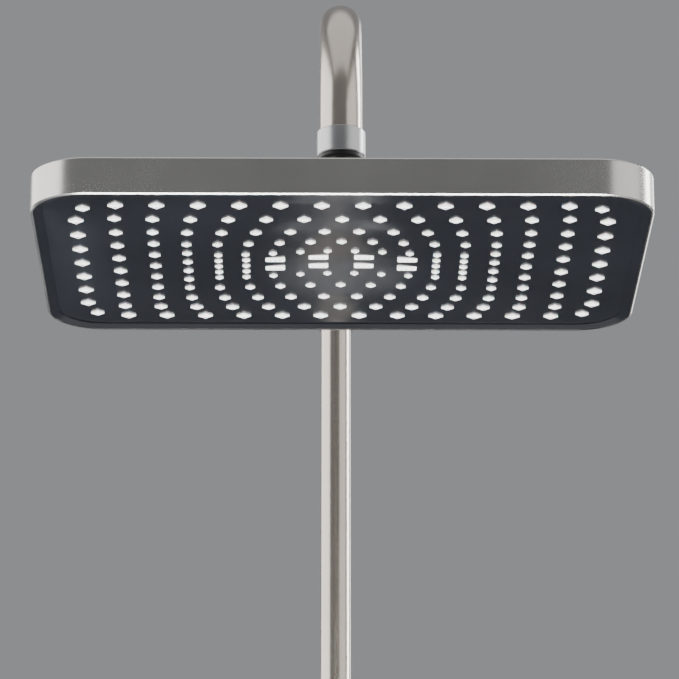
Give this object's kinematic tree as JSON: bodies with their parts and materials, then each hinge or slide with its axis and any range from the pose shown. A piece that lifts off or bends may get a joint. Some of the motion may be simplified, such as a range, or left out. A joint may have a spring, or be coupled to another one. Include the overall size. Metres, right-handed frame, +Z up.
{
  "type": "rainfall shower column",
  "caption": "Wall-mounted rainfall shower column: wide rectangular rain head on a ball joint and bent arm, height-adjustable riser, wall bracket and a diverter with an outlet for a hand shower.",
  "frame": {"origin": "centre of the water inlet on the wall plane", "axes": "+Z up along the riser, +Y into the wall, +X to the right of someone who faces the wall"},
  "size_m": [0.31, 0.572, 1.1157],
  "materials": {
    "cover": "satin gunmetal with a fine grain",
    "black_gloss": "near-black gloss moulding",
    "silicone": "white silicone, semi-matt",
    "tube": "warm brushed nickel",
    "fitting": "brass with a satin nickel finish",
    "raw_brass": "turned brass, unplated",
    "inner_plastic": "grey moulded plastic",
    "liner": "white low-friction plastic",
    "dark_plastic": "black matt moulding",
    "seal": "black rubber",
    "disc": "lapped ceramic",
    "steel_screw": "bright steel"
  },
  "bodies": {
    "column": {"lower_riser": "tube", "clamp_sleeve": "fitting", "clamp_collet": "liner", "guide_bush": "liner", "bracket_liner": "dark_plastic", "bracket_arm": "fitting", "bracket_grub_screw": "steel_screw", "wall_plate": "fitting", "cover_flange": "fitting", "diverter_body": "fitting", "riser_union_nut": "fitting", "union_seal": "seal", "inlet_nipple": "raw_brass", "escutcheon": "fitting", "hose_nipple": "fitting", "hose_nipple_seal": "seal", "check_valve": "inner_plastic", "fixed_disc": "disc", "cartridge_housing": "inner_plastic", "cartridge_nut": "fitting"},
    "clamp": {"height_clamp_nut": "fitting"},
    "sliding_riser": {"upper_riser": "tube", "riser_flange": "raw_brass", "slip_washer": "liner", "riser_piston": "raw_brass", "piston_seals": "seal"},
    "arm": {"shower_arm": "tube", "swivel_spigot": "raw_brass", "spigot_seals": "seal", "arm_swivel_nut": "fitting", "arm_end_nipple": "raw_brass", "swivel_ball": "fitting", "shade_ring": "dark_plastic", "inlet_filter": "seal"},
    "spin_ring": {"upper_ball_liner": "liner"},
    "roll_ring": {"lower_ball_liner": "liner"},
    "head": {"head_cover": "cover", "spray_plate": "black_gloss", "nozzle_mat": "silicone", "water_chamber": "inner_plastic", "plate_screws": "steel_screw", "ball_socket": "fitting", "ball_seal": "seal", "socket_nut": "fitting"},
    "diverter_control": {"knob": "fitting", "knob_screw": "steel_screw", "knob_cap": "fitting", "spindle": "raw_brass", "spindle_seal": "seal", "moving_disc": "disc"}
  },
  "joints": [
    {"name": "height_slide", "type": "slide", "parent": "column", "child": "sliding_riser", "axis": [0, 0, 1], "range_m": [-0.2, 0.15]},
    {"name": "height_clamp_turn", "type": "hinge", "parent": "column", "child": "clamp", "pos_m": [0, -0.06, 0.745], "axis": [0, 0, 1], "range_deg": [0, 120]},
    {"name": "arm_swivel", "type": "hinge", "parent": "sliding_riser", "child": "arm", "pos_m": [0, -0.06, 1.01], "axis": [0, 0, 1], "range_deg": [-60, 60]},
    {"name": "head_spin", "type": "hinge", "parent": "arm", "child": "spin_ring", "pos_m": [0, -0.455, 0.9362], "axis": [0, 0, 1], "continuous": true},
    {"name": "head_roll", "type": "hinge", "parent": "spin_ring", "child": "roll_ring", "pos_m": [0, -0.455, 0.9362], "axis": [0, 1, 0], "range_deg": [-15, 15]},
    {"name": "head_tilt", "type": "hinge", "parent": "roll_ring", "child": "head", "pos_m": [0, -0.455, 0.9362], "axis": [1, 0, 0], "range_deg": [-15, 15]},
    {"name": "diverter_turn", "type": "hinge", "parent": "column", "child": "diverter_control", "pos_m": [0, -0.11, 0], "axis": [0, 1, 0], "range_deg": [0, 180]}
  ]
}
